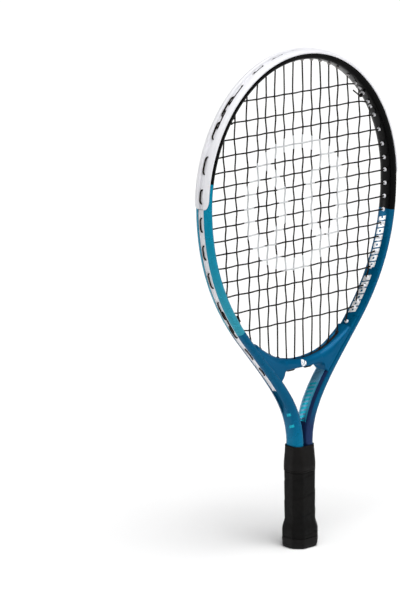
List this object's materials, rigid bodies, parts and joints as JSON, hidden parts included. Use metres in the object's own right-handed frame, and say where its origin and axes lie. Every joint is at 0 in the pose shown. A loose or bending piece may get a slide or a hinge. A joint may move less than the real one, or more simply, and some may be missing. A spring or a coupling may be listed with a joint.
{
  "type": "tennis racket",
  "caption": "Junior tennis racket: one bent metal hoop and throat, plastic throat bridge, grommets and bumper, woven strings, and an eight-sided taped grip.",
  "frame": {"origin": "centre of the flat end of the butt cap", "axes": "+Z along the racket from the butt to the tip of the head, X across the string face, Y through the face, with -Y the side that faces the viewer"},
  "size_m": [0.2716, 0.034, 0.534],
  "materials": {
    "frame_paint": "glossy metallic paint over aluminium tube",
    "bridge_plastic": "glossy painted blue",
    "white_nylon": "satin",
    "black_nylon": "matte",
    "string": "semi-gloss nylon monofilament",
    "grip": "matte, soft, faintly textured",
    "collar": "satin",
    "vinyl": "satin tape",
    "pallet_foam": "matte",
    "steel": "zinc plated"
  },
  "bodies": {
    "root": {"frame_tube": "frame_paint", "throat_bridge": "bridge_plastic", "bridge_grommet_strip": "black_nylon", "bridge_rivet_left": "steel", "bridge_rivet_right": "steel", "bumper_guard": "white_nylon", "grommet_strip_left": "white_nylon", "grommet_strip_right": "white_nylon", "main_string": "string", "cross_string": "string", "pallet_front": "pallet_foam", "pallet_back": "pallet_foam", "butt_cap": "black_nylon", "butt_staple_front": "steel", "butt_staple_back": "steel", "grip_staple": "steel", "grip_tape": "grip", "finishing_tape": "vinyl", "grip_collar": "collar"}
  },
  "joints": []
}
